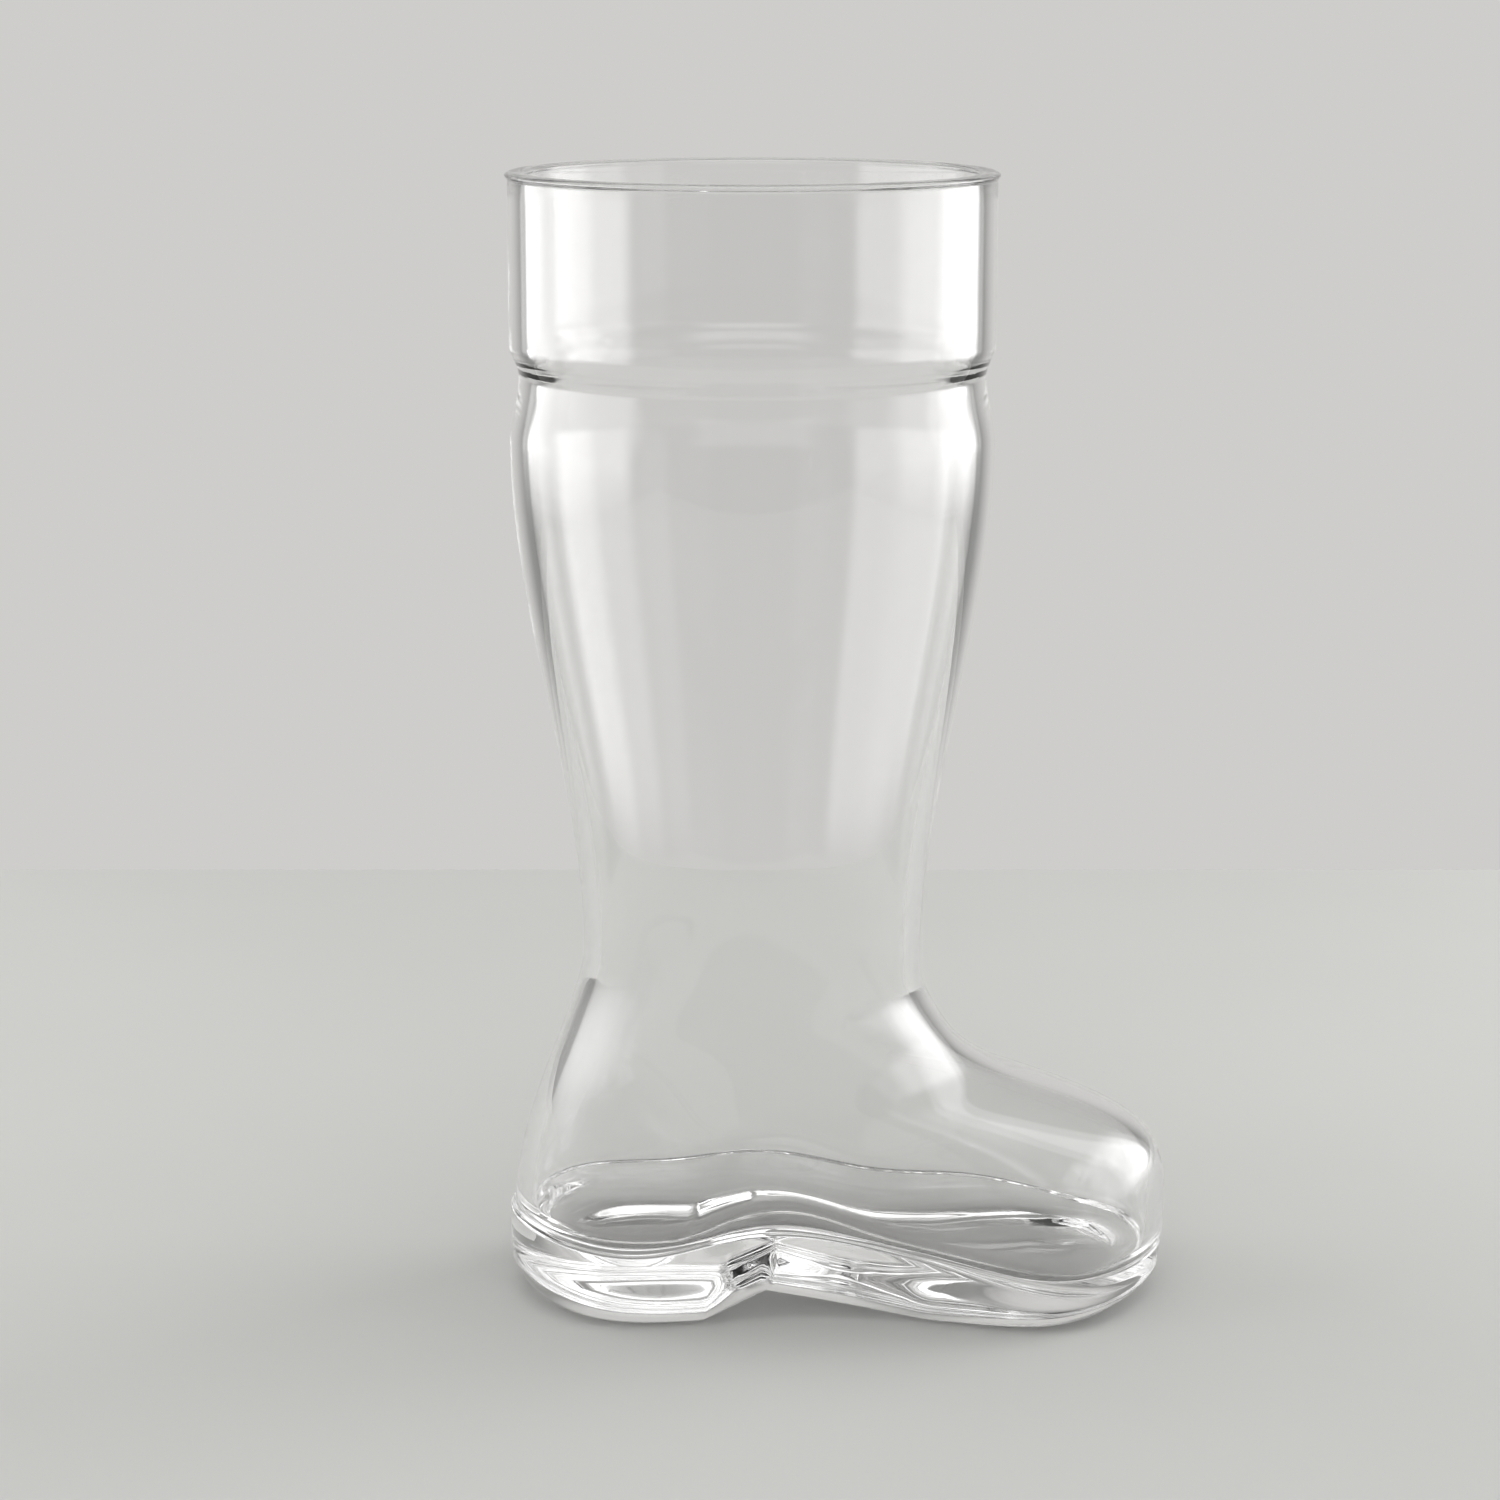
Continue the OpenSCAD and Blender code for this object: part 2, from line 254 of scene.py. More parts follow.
@dataclass
class Foot:
    """The hollow foot from the ankle down to the seam of the sole, in millimetres."""

    ankle_r: float = 30.0
    ankle_h: float = 63.0
    wall: float = 3.1
    heel_reach: float = 42.9
    toe_reach: float = 74.5
    heel_w: float = 51.0
    arch_w: float = 43.6
    ball_w: float = 53.6
    toe_round_r: float = 24.8
    full_width_h: float = 8.4
    stations: tuple[float, ...] = (-1.0, -0.57, -0.26, 0.46, 1.0)
    heel_lean_share: float = 0.78
    heel_hollow_power: float = 1.43
    vamp_share: float = 0.635
    vamp_tip_share: float = 0.58
    vamp_side_share: float = 0.11
    vamp_above_share: float = 0.26
    vamp_below_share: float = 0.34
    crowd_share: float = 0.6
    crowd_place_share: float = 0.42
    rows: int = 56
    probe: float = 1e-3
    toe_line: Guide = Guide(
        (
            (0.000, 0.957), (0.103, 0.980), (0.195, 0.996), (0.270, 1.000), (0.343, 0.994),
            (0.419, 0.963), (0.487, 0.880), (0.541, 0.746), (0.595, 0.555), (0.633, 0.400),
            (0.678, 0.262), (0.724, 0.168), (0.800, 0.083), (0.857, 0.037), (0.920, 0.005),
            (1.000, 0.000),
        )
    )

    @property
    def length(self) -> float:
        """Length from the back of the heel to the tip of the toe."""
        return self.heel_reach + self.toe_reach

    def reaches(self, z: Array) -> tuple[Array, Array]:
        """How far the heel and the toe stand out from the leg's axis.

        The heel leans out as a power of the sine of the depth below the ankle. The toe
        follows the measured line over instep and toe.

        Args:
            z: Heights above the table.

        Returns:
            The heel's and the toe's reach at each height.
        """
        lean = np.clip((1 - z / self.ankle_h) / self.heel_lean_share, 0, 1)
        bow = np.sin(math.pi / 2 * lean) ** self.heel_hollow_power
        heel = mix(self.ankle_r, self.heel_reach, bow)
        return heel, mix(self.ankle_r, self.toe_reach, self.toe_line(z / self.ankle_h))

    def middle(self, z: Array) -> tuple[Array, Array]:
        """Middle and half length of the slice at each height."""
        heel, toe = self.reaches(z)
        return (toe - heel) / 2, (toe + heel) / 2

    def point(self, t: Array, z: Array) -> Array:
        """Points of the foot's outer skin.

        A slice at height z reaches from heel to toe as a cosine of the angle t, and its side
        stands out by the sine of t times a breadth. The breadth passes, as a polynomial of
        the cosine, through five stations, each of which widens or narrows softly with the
        depth below the ankle, and it is drawn in over the toe cap.

        Args:
            t: Angles round the slice, with the toe at zero.
            z: Heights above the table.

        Returns:
            An array of points with one more axis than t and z.
        """
        t, z = np.broadcast_arrays(np.asarray(t, float), np.asarray(z, float))
        middle, half = self.middle(z)
        depth = ease((self.ankle_h - z) / (self.ankle_h - self.full_width_h))
        off = z / self.ankle_h - self.vamp_share
        fade = np.where(off > 0, self.vamp_above_share, self.vamp_below_share)
        pinch = ease(1 - np.abs(off) / fade)
        wide = [
            mix(self.ankle_r, w / 2 / math.sqrt(1 - u * u), depth)
            for w, u in zip((self.heel_w, self.arch_w, self.ball_w), self.stations[1:4])
        ]
        breadths = [
            np.sqrt(mix(self.ankle_r, self.heel_w / 2, depth) * half),
            wide[0],
            wide[1],
            wide[2] * (1 - self.vamp_side_share * pinch),
            np.sqrt(
                mix(self.ankle_r, self.toe_round_r, depth) * (1 - self.vamp_tip_share * pinch) * half
            ),
        ]
        u = np.cos(t)
        breadth = np.zeros_like(u)
        for k, (own, width) in enumerate(zip(self.stations, breadths)):
            others = [s for j, s in enumerate(self.stations) if j != k]
            weight = np.prod([(u - s) / (own - s) for s in others], axis=0)
            breadth = breadth + weight * width
        return np.stack([middle + half * u, breadth * np.sin(t), z], axis=-1)

    def normal(self, t: Array, z: Array) -> Array:
        """Outward direction of the outer skin: across its slopes round and up the foot.

        Args:
            t: Angles round the slice.
            z: Heights above the table.

        Returns:
            Vectors of length one.
        """
        e = self.probe
        around = self.point(t + e, z) - self.point(t - e, z)
        upward = self.point(t, z + e) - self.point(t, z - e)
        across = np.cross(around, upward)
        return across / np.linalg.norm(across, axis=-1, keepdims=True)

    def flat_normal(self, t: Array, z: Array) -> Array:
        """Outward direction of the slice itself, level with the table.

        Args:
            t: Angles round the slice.
            z: Heights above the table.

        Returns:
            Level vectors of length one.
        """
        e = self.probe
        around = self.point(t + e, z) - self.point(t - e, z)
        across = np.stack([around[..., 1], -around[..., 0], 0 * around[..., 0]], axis=-1)
        return across / np.linalg.norm(across, axis=-1, keepdims=True)

    def inner_point(self, t: Array, z: Array) -> Array:
        """Points of the inner skin: one wall in from the outer skin, square to it."""
        return self.point(t, z) - self.wall * self.normal(t, np.minimum(z, self.ankle_h - self.probe))

    def row_shares(self) -> Array:
        """Shares of the way down the foot for its rows, crowded where the instep is flattest.

        An even run from 0 to 1, less a sine wave that has its steepest fall at the instep.

        Returns:
            The shares, from the ankle down.
        """
        q = np.linspace(0, 1, self.rows + 1)
        place = self.crowd_place_share
        wave = np.sin(2 * math.pi * (q - place)) + math.sin(2 * math.pi * place)
        return q - self.crowd_share / (2 * math.pi) * wave


@dataclass
class Sole:
    """The solid sole: its lip, its rounded lower edge and the hollow under its arch, in mm."""

    foot: Foot
    arch_seam_h: float = 16.9
    toe_seam_h: float = 6.0
    sole_lip: float = 0.9
    side_edge_w: float = 4.4
    end_edge_w: float = 7.0
    edge_h: float = 8.4
    breast_x: float = -8.1
    crease_x: float = 2.8
    crease_h: float = 4.9
    ball_x: float = 31.0
    spring_x: float = 50.0
    spring_h: float = 3.2
    ramp_power: float = 1.35
    lip_fade_share: float = 0.6
    lip_round_h: float = 0.7
    edge_limit_share: float = 0.8
    lip_rows: int = 5
    side_rows: int = 3
    edge_rows: int = 12
    under_rows: int = 10
    middle_share: float = 0.04
    seam: Guide = Guide(
        (
            (-1.00, 0.88), (-0.57, 0.75), (-0.26, 1.00), (0.03, 0.82), (0.37, 0.47),
            (0.53, 0.27), (0.69, 0.10), (0.87, 0.00), (1.00, 0.02),
        )
    )

    def seam_z(self, t: Array) -> Array:
        """Height of the seam between foot and sole, from its table by the cosine of t."""
        return mix(self.toe_seam_h, self.arch_seam_h, self.seam(np.cos(t)))

    def under_z(self, x: Array) -> Array:
        """Height of the underside along the foot.

        Level under the heel, straight up the heel's front face to the crease, down to the
        ball as a power of the distance from it, level there, and up to the toe as a square.

        Args:
            x: Places along the foot, from the leg's axis.

        Returns:
            Heights above the table.
        """
        rise = self.crease_h * (x - self.breast_x) / (self.crease_x - self.breast_x)
        ramp = np.clip((self.ball_x - x) / (self.ball_x - self.crease_x), 0, 1)
        spring = np.clip((x - self.spring_x) / (self.foot.toe_reach - self.spring_x), 0, None)
        return np.where(
            x < self.crease_x,
            np.clip(rise, 0, None),
            self.crease_h * ramp**self.ramp_power + self.spring_h * spring**2,
        )

    def side(self, t: Array, out: Array, z: Array) -> Array:
        """Points that stand out from the seam's outline by a distance, at a height.

        Args:
            t: The columns' angles.
            out: How far the points stand out, level with the table.
            z: Heights above the table.

        Returns:
            An array of points.
        """
        seam = self.seam_z(t)
        base = self.foot.point(t, seam) + self.foot.flat_normal(t, seam) * out[..., None]
        return np.concatenate([base[..., :2], z[..., None]], axis=-1)

    def rows(self, t: Array) -> Array:
        """Rows from the middle of the underside out, up the rounded edge and over the lip.

        The edge is a quarter of an ellipse, wider at heel and toe than along the sides. The
        lip's top is a quarter of a small ellipse, and the lip fades out towards the toe. The
        underside keeps its height across the foot, and its rows draw in to a middle line.

        Args:
            t: The columns' angles.

        Returns:
            Rows of points, from the underside's middle line to just below the seam.
        """
        seam = self.seam_z(t)
        under = self.under_z(self.foot.point(t, seam)[:, 0])
        lip = self.sole_lip * ease((1 - np.cos(t)) / self.lip_fade_share)
        high = np.minimum(self.edge_h, self.edge_limit_share * (seam - under))
        wide = mix(self.side_edge_w, self.end_edge_w, np.cos(t) ** 2)
        turn = (math.pi / 2 * np.linspace(1, 0, self.edge_rows + 1))[:, None]
        edge = self.side(t, lip - wide * (1 - np.cos(turn)), under + high * (1 - np.sin(turn)))
        climb = (math.pi / 2 * np.linspace(1, 0, self.lip_rows + 1)[:-1])[:, None]
        brow = self.side(t, lip * np.sin(climb), seam - self.lip_round_h * (1 - np.cos(climb)))
        climbed = np.arange(1, self.side_rows + 1) / (self.side_rows + 1)
        flank = mix(edge[-1], brow[0], climbed[:, None, None])
        return np.concatenate([self.underside(edge[0]), edge, flank, brow])

    def underside(self, border: Array) -> Array:
        """Rows across the underside, from its middle line out to the rounded edge.

        Each point goes straight across the foot to the middle line, or to that line's end
        round heel and toe, and takes the height that the border has at the same x.

        Args:
            border: The innermost row of the rounded edge.

        Returns:
            The rows, from the middle line out.
        """
        foot = self.foot
        ends = (-foot.heel_reach + foot.heel_w / 2, foot.toe_reach - foot.toe_round_r)
        share = np.linspace(self.middle_share, 1, self.under_rows + 1)[:-1, None]
        x = mix(np.clip(border[:, 0], *ends), border[:, 0], share)
        half = border[: len(border) // 2 + 1][::-1]
        return np.stack([x, border[:, 1] * share, np.interp(x, half[:, 0], half[:, 2])], axis=-1)


@dataclass
class Basin:
    """The inner floor with its two bowls and the hump between them, in millimetres."""

    foot: Foot
    arch_floor_h: float = 14.2
    toe_floor_h: float = 5.5
    arch_round_h: float = 10.0
    toe_round_h: float = 5.5
    floor_power: float = 2.6
    rows: int = 30
    middle_share: float = 0.05
    floor: Guide = Guide(
        (
            (0.00, 0.60), (0.10, 0.55), (0.20, 0.55), (0.27, 0.64), (0.34, 0.90), (0.40, 1.00),
            (0.46, 0.89), (0.54, 0.60), (0.64, 0.38), (0.75, 0.17), (0.86, 0.00), (1.00, 0.08),
        )
    )

    def floor_z(self, x: Array) -> Array:
        """Height of the inner floor's middle line along the foot."""
        share = (x + self.foot.heel_reach) / self.foot.length
        return mix(self.toe_floor_h, self.arch_floor_h, self.floor(share))

    def round_h(self, x: Array) -> Array:
        """Height of the rounding between wall and floor, which follows the floor's own height."""
        share = (x + self.foot.heel_reach) / self.foot.length
        return mix(self.toe_round_h, self.arch_round_h, self.floor(share))

    def top_z(self, t: Array) -> Array:
        """Height at which the inner wall begins to round into the floor."""
        start = self.foot.inner_point(t, np.full_like(t, self.arch_floor_h))[..., 0]
        return self.floor_z(start) + self.round_h(start)

    def point(self, t: Array, turn: Array) -> Array:
        """Points from the inner wall down into the floor.

        The wall's outline is drawn in towards the foot's middle line while it sinks to the
        floor, as a squared-off quarter ellipse of the turn.

        Args:
            t: The columns' angles.
            turn: How far the wall has turned into the floor, from zero to a right angle.

        Returns:
            An array of points.
        """
        top = self.top_z(t)
        wide = np.clip(np.cos(turn), 0, 1) ** (2 / self.floor_power)
        drop = np.sin(turn) ** (2 / self.floor_power)
        middle, half = self.foot.middle(top)
        line_x = middle + (half - self.foot.toe_round_r) * np.cos(t)
        first = self.foot.inner_point(t, top)
        level = mix(top, self.floor_z(mix(line_x, first[..., 0], wide)), drop)
        skin = self.foot.inner_point(t, level)
        z = level + (skin[..., 2] - level) * (1 - drop)
        return np.stack([mix(line_x, skin[..., 0], wide), skin[..., 1] * wide, z], axis=-1)

    def point_rows(self, t: Array) -> Array:
        """Rows from just below the wall's foot in to the middle line.

        Args:
            t: The columns' angles.

        Returns:
            Rows of points, from the wall in.
        """
        stop = math.acos(self.middle_share ** (self.floor_power / 2))
        turn = stop * (np.arange(1, self.rows + 1) / self.rows)[:, None]
        return self.point(t[None, :], turn)


# Finishes -----------------------------------------------------------------------------


def add_node(
    tree: bpy.types.NodeTree, kind: str, settings: dict | None = None, links: dict | None = None
) -> bpy.types.Node:
    """Add a node, set its values and link its inputs.

    Args:
        tree: The tree that it goes into.
        kind: The node's type name.
        settings: Values by input name or number, or by the node's own property name.
        links: The output socket for each linked input, by name or number.

    Returns:
        The new node.
    """
    node = tree.nodes.new(kind)
    for name, value in (settings or {}).items():
        if isinstance(name, int) or name in node.inputs:
            node.inputs[name].default_value = value
        else:
            setattr(node, name, value)
    for name, socket in (links or {}).items():
        tree.links.new(socket, node.inputs[name])
    return node


@dataclass(frozen=True)
class FirePolishedGlass:
    """Clear soda-lime glass, blown in a mould and fire-polished.

    The eye gets a colourless body, sharp highlights that swim a little over the mould's
    soft waves, and a faint bloom in places. Each pattern is a noise: its own roughness says
    how much of it is finer than its size in millimetres.
    """

    name: str = "clear_soda_lime_glass_fire_polished"
    colour: str = "fdfdfd"
    ior: float = 1.52
    wave_mm: float = 34.0
    wave_depth_mm: float = 0.05
    wave_fineness: float = 0.4
    ripple_mm: float = 7.0
    ripple_depth_mm: float = 0.006
    ripple_fineness: float = 0.5
    bloom_mm: float = 22.0
    bloom_octaves: float = 4.0
    bloom_fineness: float = 0.6
    bloom_range: tuple[float, float] = (0.45, 0.75)
    clean_roughness: float = 0.0
    bloom_roughness: float = 0.025

    def make(self) -> bpy.types.Material:
        """Build the material: waves and ripples as bump, and a patchy bloom as roughness.

        Returns:
            The material.
        """
        material = bpy.data.materials.new(self.name)
        material.use_nodes = True
        tree = material.node_tree
        tree.nodes.clear()
        place = add_node(tree, "ShaderNodeTexCoord").outputs["Object"]
        wave = add_node(
            tree, "ShaderNodeTexNoise",
            {"Scale": 1 / (self.wave_mm * MM), "Detail": 1.0, "Roughness": self.wave_fineness},
            {"Vector": place},
        )
        ripple = add_node(
            tree, "ShaderNodeTexNoise",
            {"Scale": 1 / (self.ripple_mm * MM), "Detail": 1.0, "Roughness": self.ripple_fineness},
            {"Vector": place},
        )
        bloom = add_node(
            tree, "ShaderNodeTexNoise",
            {
                "Scale": 1 / (self.bloom_mm * MM), "Detail": self.bloom_octaves,
                "Roughness": self.bloom_fineness,
            },
            {"Vector": place},
        )
        swell = add_node(
            tree, "ShaderNodeBump",
            {"Strength": 1.0, "Distance": self.wave_depth_mm * MM}, {"Height": wave.outputs["Fac"]},
        )
        shiver = add_node(
            tree, "ShaderNodeBump",
            {"Strength": 1.0, "Distance": self.ripple_depth_mm * MM},
            {"Height": ripple.outputs["Fac"], "Normal": swell.outputs["Normal"]},
        )
        haze = add_node(
            tree, "ShaderNodeMapRange",
            {
                "From Min": self.bloom_range[0], "From Max": self.bloom_range[1],
                "To Min": self.clean_roughness, "To Max": self.bloom_roughness,
            },
            {"Value": bloom.outputs["Fac"]},
        )
        glass = add_node(
            tree, "ShaderNodeBsdfPrincipled",
            {
                "Base Color": linear(self.colour), "IOR": self.ior, "Metallic": 0.0,
                "Transmission Weight": 1.0,
            },
            {"Roughness": haze.outputs["Result"], "Normal": shiver.outputs["Normal"]},
        )
        add_node(tree, "ShaderNodeOutputMaterial", links={"Surface": glass.outputs["BSDF"]})
        return material


@dataclass(frozen=True)
class MattePaper:
    """Matte studio paper, uncoated and rolled: pale and without gloss, under the glass.

    The eye gets one even tone that is a trace cloudy, and a fine grain of fibres. The real
    grain is a few tenths of a millimetre wide. It is drawn coarser, so that it shows.
    """

    name: str
    colour: str
    cloud_colour: str
    octaves: float = 2.0
    cloud_mm: float = 90.0
    cloud_fineness: float = 0.5
    grain_mm: float = 1.2
    grain_fineness: float = 0.6
    grain_depth_mm: float = 0.03
    roughness: float = 0.9
    gloss: float = 0.1

    def make(self) -> bpy.types.Material:
        """Build the material: two close tones mixed by clouds, and a grain of fibres as bump.

        Returns:
            The material.
        """
        material = bpy.data.materials.new(self.name)
        material.use_nodes = True
        tree = material.node_tree
        tree.nodes.clear()
        place = add_node(tree, "ShaderNodeTexCoord").outputs["Object"]
        clouds = add_node(
            tree, "ShaderNodeTexNoise",
            {
                "Scale": 1 / (self.cloud_mm * MM), "Detail": self.octaves,
                "Roughness": self.cloud_fineness,
            },
            {"Vector": place},
        )
        grain = add_node(
            tree, "ShaderNodeTexNoise",
            {
                "Scale": 1 / (self.grain_mm * MM), "Detail": self.octaves,
                "Roughness": self.grain_fineness,
            },
            {"Vector": place},
        )
        # The mix of two colours has them at inputs 6 and 7, and gives its own at output 2
        tone = add_node(
            tree, "ShaderNodeMix",
            {"data_type": "RGBA", 6: linear(self.colour), 7: linear(self.cloud_colour)},
            {0: clouds.outputs["Fac"]},
        )
        fibres = add_node(
            tree, "ShaderNodeBump",
            {"Strength": 1.0, "Distance": self.grain_depth_mm * MM}, {"Height": grain.outputs["Fac"]},
        )
        paper = add_node(
            tree, "ShaderNodeBsdfPrincipled",
            {"Roughness": self.roughness, "Specular IOR Level": self.gloss},
            {"Base Color": tone.outputs[2], "Normal": fibres.outputs["Normal"]},
        )
        add_node(tree, "ShaderNodeOutputMaterial", links={"Surface": paper.outputs["BSDF"]})
        return material


# The whole glass ----------------------------------------------------------------------


@dataclass
class BootGlass:
    """The whole glass as one closed surface, from the underside up, over the rim and down inside."""

    mouth: Mouth = field(default_factory=Mouth)
    foot: Foot = field(default_factory=Foot)
    finish: FirePolishedGlass = FirePolishedGlass()
    columns: int = 256
    name: str = "boot_glass"

    def __post_init__(self) -> None:
        """Give leg, sole and basin the sizes that they share with mouth and foot."""
        self.leg = Leg(self.mouth)
        self.sole = Sole(self.foot)
        self.basin = Basin(self.foot)

    @property
    def leg_x(self) -> float:
        """Place of the leg's axis: heel lip and toe then reach equally far from the origin."""
        return (self.foot.heel_reach + self.sole.sole_lip - self.foot.toe_reach) / 2

    def angles(self) -> Array:
        """Angles of the columns, with one at the crease and one at the heel's front face.

        Returns:
            The angles once round, the second half mirroring the first.
        """
        middle, half = self.foot.middle(np.array(self.sole.arch_seam_h))
        marks = [
            0.0,
            math.acos((self.sole.crease_x - middle) / half),
            math.acos((self.sole.breast_x - middle) / half),
            math.pi,
        ]
        spans = list(zip(marks, marks[1:]))
        steps = [max(1, round(self.columns / 2 * (b - a) / math.pi)) for a, b in spans]
        steps[-1] += self.columns // 2 - sum(steps)
        right = np.concatenate(
            [np.linspace(a, b, n, endpoint=False) for (a, b), n in zip(spans, steps)]
        )
        return np.concatenate([right, [math.pi], 2 * math.pi - right[:0:-1]])

    def turned(self, profile: Array, t: Array) -> Array:
        """Rows of points that turn a profile of radius and height round the leg's axis."""
        radius, height = profile[:, :1], profile[:, 1:]
        return np.stack([radius * np.cos(t), radius * np.sin(t), height + 0 * t], axis=-1)

    def rows(self) -> Array:
        """All rows of the surface, in the order of the skin, in millimetres.

        Returns:
            An array of rows by columns by three.
        """
        t = self.angles()
        shares = self.foot.row_shares()[:, None]
        outer_z = mix(self.foot.ankle_h, self.sole.seam_z(t), shares)
        inner_z = mix(self.foot.ankle_h, self.basin.top_z(t), shares)
        outer_foot = self.foot.point(t, outer_z)[::-1]
        inner_foot = self.foot.inner_point(t, inner_z)
        skins = {skin: self.leg.profile(skin) for skin in Skin}
        cuffs = {skin: self.mouth.foot_profile(self.leg.groove_r(skin), skin) for skin in Skin}
        return np.concatenate(
            [
                self.sole.rows(t),
                outer_foot,
                self.turned(skins[Skin.OUTER], t),
                self.turned(cuffs[Skin.OUTER], t),
                self.turned(self.mouth.bead_profile(), t),
                self.turned(cuffs[Skin.INNER][::-1], t),
                self.turned(skins[Skin.INNER][::-1], t),
                inner_foot,
                self.basin.point_rows(t),
            ]
        )

    def build(self) -> bpy.types.Object:
        """Make the mesh: four-sided faces between neighbouring rows, and both ends filled across.

        Returns:
            The object, with its place in its mesh.
        """
        rows = self.rows()
        count, around = rows.shape[:2]
        points = (rows.reshape(-1, 3) + np.array([self.leg_x, 0, 0])) * MM
        grid = np.arange(count * around).reshape(count, around)
        beside = np.roll(grid, -1, axis=1)
        walls = np.stack([grid[:-1], beside[:-1], beside[1:], grid[1:]], axis=-1).reshape(-1, 4)
        j = np.arange(1, around // 2 - 1)
        across = np.stack([j, j + 1, around - j - 1, around - j], axis=-1)
        h = around // 2
        tips = np.array([[0, 1, around - 1], [h - 1, h, h + 1]])
        top = (count - 1) * around
        quads = np.concatenate([walls, across + top, across[:, ::-1]])
        threes = np.concatenate([tips + top, tips[:, ::-1]])
        mesh = bpy.data.meshes.new(self.name)
        mesh.vertices.add(len(points))
        mesh.vertices.foreach_set("co", points.ravel())
        corners = np.concatenate([quads.ravel(), threes.ravel()])
        mesh.loops.add(len(corners))
        mesh.loops.foreach_set("vertex_index", corners)
        mesh.polygons.add(len(quads) + len(threes))
        starts = np.concatenate(
            [4 * np.arange(len(quads)), 4 * len(quads) + 3 * np.arange(len(threes))]
        )
        mesh.polygons.foreach_set("loop_start", starts)
        mesh.update(calc_edges=True)
        mesh.validate(verbose=True)
        mesh.shade_smooth()
        glass = bpy.data.objects.new(self.name, mesh)
        bpy.context.scene.collection.objects.link(glass)
        glass.data.materials.append(self.finish.make())
        LOG.info("%s: %d rows of %d points, %d faces", self.name, count, around, len(mesh.polygons))
        return glass


# The studio ---------------------------------------------------------------------------


class Side(Enum):
    """The side of the studio that a screen is on, as its own two directions across and up."""

    LEFT = ((0, 1, 0), (0, 0, 1))
    RIGHT = ((0, -1, 0), (0, 0, 1))
    FRONT = ((-1, 0, 0), (0, 0, 1))
    ABOVE = ((1, 0, 0), (0, -1, 0))


@dataclass(frozen=True)
class SoftGlow:
    """The light of a thin white screen that is lit from behind.

    The eye gets an even glow that fades out towards the screen's edges, so that its mirror
    image in the glass has no hard border. Reflections and matte pieces meet the screen, and
    a ray that comes straight from the camera, or only through glass, passes it by. So the
    glass shows the plain room behind it from every side.
    """

    name: str
    radiance: float
    soft_shares: tuple[float, float]

    def make(self) -> bpy.types.Material:
        """Build the material: a soft fall towards each side, the two falls multiplied.

        A ray is passed by where it has had no reflection yet, by a glossy or a matte piece,
        and comes from the camera or has last gone through glass.

        Returns:
            The material, which adds its light to whatever is behind it.
        """
        material = bpy.data.materials.new(self.name)
        material.use_nodes = True
        tree = material.node_tree
        tree.nodes.clear()
        place = add_node(tree, "ShaderNodeTexCoord").outputs["UV"]
        sides = add_node(tree, "ShaderNodeSeparateXYZ", links={0: place})
        falls = []
        for axis, soft_share in zip(("X", "Y"), self.soft_shares):
            off = add_node(
                tree, "ShaderNodeMath", {"operation": "SUBTRACT", 1: 0.5}, {0: sides.outputs[axis]}
            )
            away = add_node(
                tree, "ShaderNodeMath", {"operation": "ABSOLUTE"}, {0: off.outputs[0]}
            )
            fall = add_node(
                tree, "ShaderNodeMapRange",
                {
                    "interpolation_type": "SMOOTHSTEP", "From Min": 0.5,
                    "From Max": 0.5 * (1 - soft_share), "To Min": 0.0, "To Max": 1.0,
                },
                {"Value": away.outputs[0]},
            )
            falls.append(fall.outputs["Result"])
        both = add_node(
            tree, "ShaderNodeMath", {"operation": "MULTIPLY"}, dict(enumerate(falls))
        )
        ray = add_node(tree, "ShaderNodeLightPath").outputs
        turns = add_node(
            tree, "ShaderNodeMath", {"operation": "ADD"},
            {0: ray["Glossy Depth"], 1: ray["Diffuse Depth"]},
        )
        unturned = add_node(
            tree, "ShaderNodeMath", {"operation": "LESS_THAN", 1: 0.5}, {0: turns.outputs[0]}
        )
        onward = add_node(
            tree, "ShaderNodeMath", {"operation": "MAXIMUM"},
            {0: ray["Is Camera Ray"], 1: ray["Is Transmission Ray"]},
        )
        passing = add_node(
            tree, "ShaderNodeMath", {"operation": "MULTIPLY"},
            {0: unturned.outputs[0], 1: onward.outputs[0]},
        )
        met = add_node(
            tree, "ShaderNodeMapRange", {"To Min": self.radiance, "To Max": 0.0},
            {"Value": passing.outputs[0]},
        )
        power = add_node(
            tree, "ShaderNodeMath", {"operation": "MULTIPLY"},
            {0: both.outputs[0], 1: met.outputs["Result"]},
        )
        light = add_node(tree, "ShaderNodeEmission", links={"Strength": power.outputs[0]})
        clear = add_node(tree, "ShaderNodeBsdfTransparent")
        total = add_node(
            tree, "ShaderNodeAddShader", links={0: light.outputs[0], 1: clear.outputs[0]}
        )
        add_node(tree, "ShaderNodeOutputMaterial", links={"Surface": total.outputs[0]})
        return material


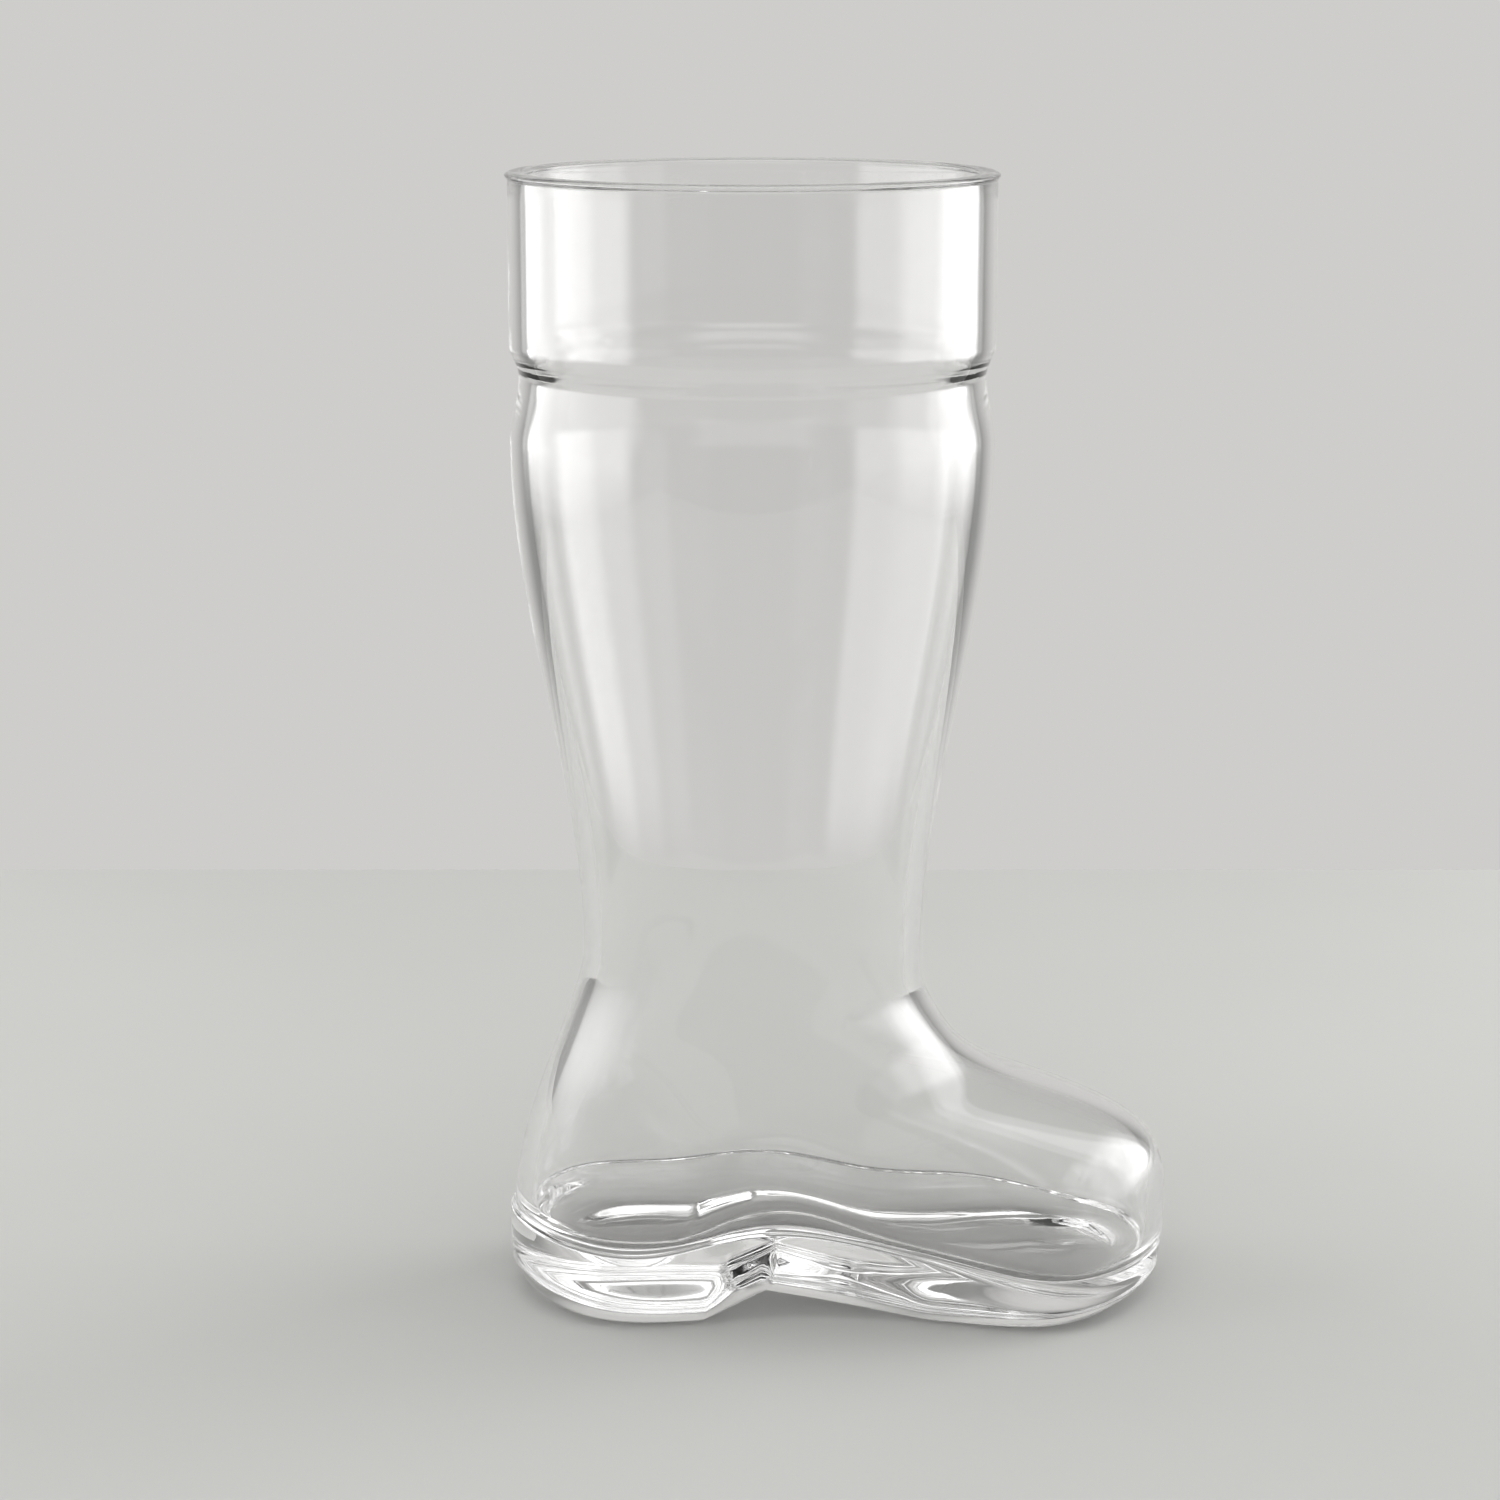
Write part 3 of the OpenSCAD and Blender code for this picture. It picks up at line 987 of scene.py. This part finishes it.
@dataclass(frozen=True)
class Screen:
    """A flat screen with a soft glow at one side of the glass, in metres.

    Its radiance is that of its middle, where 1 is as bright as a white wall in the render.
    """

    name: str
    side: Side
    at: tuple[float, float, float]
    size: tuple[float, float]
    radiance: float
    soft_shares: tuple[float, float] = (0.5, 0.5)

    def build(self) -> bpy.types.Object:
        """Make the screen's flat mesh, which faces the glass.

        Returns:
            The screen, as a stage object.
        """
        across, up = np.array(self.side.value) * np.array(self.size)[:, None] / 2
        corners = ((-1, -1), (1, -1), (1, 1), (-1, 1))
        points = [tuple(self.at + a * across + b * up) for a, b in corners]
        mesh = bpy.data.meshes.new(self.name)
        mesh.from_pydata(points, [], [(0, 1, 2, 3)])
        spots = mesh.uv_layers.new(name="screen")
        spots.data.foreach_set("uv", (np.array(corners, float).ravel() + 1) / 2)
        screen = bpy.data.objects.new(self.name, mesh)
        glow = SoftGlow(f"soft_glow_of_{self.name}", self.radiance, self.soft_shares)
        screen.data.materials.append(glow.make())
        bpy.context.scene.collection.objects.link(screen)
        return screen


@dataclass
class Studio:
    """A pale table before a pale wall, glowing screens round it, and the camera, in metres."""

    table_x: tuple[float, float] = (-0.6, 0.6)
    table_y: tuple[float, float] = (-0.6, 0.305)
    table_gap: float = 0.00005
    table_paper: MattePaper = MattePaper("matte_studio_paper_uncoated", "cacac8", "c6c6c4")
    wall_colour: str = "cecdcb"
    room_colour: str = "8c8c8a"
    wall_edge: tuple[float, float] = (0.80, 0.945)
    camera_at: tuple[float, float, float] = (-0.01578, -0.63246, 0.23647)
    camera_pitch: float = 77.71
    camera_angle: float = 23.12
    camera_clip: float = 0.01
    light_bounces: int = 40
    screens: tuple[Screen, ...] = (
        Screen("left_window", Side.LEFT, (-0.6, 0.125, 0.27), (1.07, 0.64), 1.7, (0.2, 0.5)),
        Screen("left_pane", Side.LEFT, (-0.59, 0.12, 0.2), (0.36, 0.5), 0.3),
        Screen("right_window", Side.RIGHT, (0.6, 0.21, 0.3), (0.9, 0.7), 1.0, (0.2, 0.5)),
        Screen("right_pane", Side.RIGHT, (0.59, 0.29, 0.55), (0.48, 1.2), 1.4, (0.3, 0.25)),
        Screen("right_blind", Side.RIGHT, (0.61, 0.0, 0.3), (1.26, 0.7), 0.5, (0.2, 0.5)),
        Screen("front_window", Side.FRONT, (0.0, -1.6, 1.2), (2.4, 0.9), 1.2),
        Screen("skylight", Side.ABOVE, (0.0, -0.3, 1.6), (2.4, 2.4), 1.4),
    )

    def build_table(self) -> bpy.types.Object:
        """Make the table's flat top just under the glass.

        Returns:
            The table's object.
        """
        points = [(x, y, -self.table_gap) for x in self.table_x for y in self.table_y]
        mesh = bpy.data.meshes.new("table")
        mesh.from_pydata(points, [], [(0, 2, 3, 1)])
        table = bpy.data.objects.new("table", mesh)
        table.data.materials.append(self.table_paper.make())
        bpy.context.scene.collection.objects.link(table)
        return table

    def build_room(self) -> None:
        """Make the room as the world: a pale wall towards +Y that fades into a dimmer room."""
        world = bpy.data.worlds.new("studio_room")
        bpy.context.scene.world = world
        world.use_nodes = True
        tree = world.node_tree
        tree.nodes.clear()
        way = add_node(tree, "ShaderNodeTexCoord").outputs["Generated"]
        parts = add_node(tree, "ShaderNodeSeparateXYZ", links={0: way})
        share = add_node(
            tree, "ShaderNodeMapRange",
            {
                "interpolation_type": "SMOOTHSTEP", "From Min": self.wall_edge[0],
                "From Max": self.wall_edge[1], "To Min": 0.0, "To Max": 1.0,
            },
            {"Value": parts.outputs["Y"]},
        )
        wall, room = (
            add_node(tree, "ShaderNodeBackground", {"Color": linear(colour), "Strength": 1.0})
            for colour in (self.wall_colour, self.room_colour)
        )
        both = add_node(
            tree, "ShaderNodeMixShader",
            links={0: share.outputs["Result"], 1: room.outputs[0], 2: wall.outputs[0]},
        )
        add_node(tree, "ShaderNodeOutputWorld", links={"Surface": both.outputs[0]})

    def build_camera(self) -> bpy.types.Object:
        """Make the camera at the photograph's height, pitch and field of view.

        Returns:
            The camera.
        """
        data = bpy.data.cameras.new("camera")
        data.angle = math.radians(self.camera_angle)
        data.clip_start = self.camera_clip
        camera = bpy.data.objects.new("camera", data)
        camera.location = self.camera_at
        camera.rotation_euler = (math.radians(self.camera_pitch), 0.0, 0.0)
        bpy.context.scene.collection.objects.link(camera)
        bpy.context.scene.camera = camera
        return camera

    def build(self) -> None:
        """Make table, room, screens and camera, and set the plain view."""
        self.build_camera()
        self.build_table()
        self.build_room()
        for screen in self.screens:
            screen.build()
        bpy.context.scene.view_settings.view_transform = "Standard"
        light = bpy.context.scene.cycles
        light.max_bounces = self.light_bounces
        light.glossy_bounces = self.light_bounces
        light.transmission_bounces = self.light_bounces


def main() -> None:
    """Build the studio and the glass, and say what each piece stands for."""
    logging.basicConfig(level=logging.INFO, format="%(name)s: %(message)s")
    Studio().build()
    glass = BootGlass().build()
    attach(glass, "root")
    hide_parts("rim", "cuff", "leg", "foot", "sole")
    LOG.info("%s stands for the rim, cuff, leg, foot and sole", glass.name)


if __name__ == "__main__":
    main()
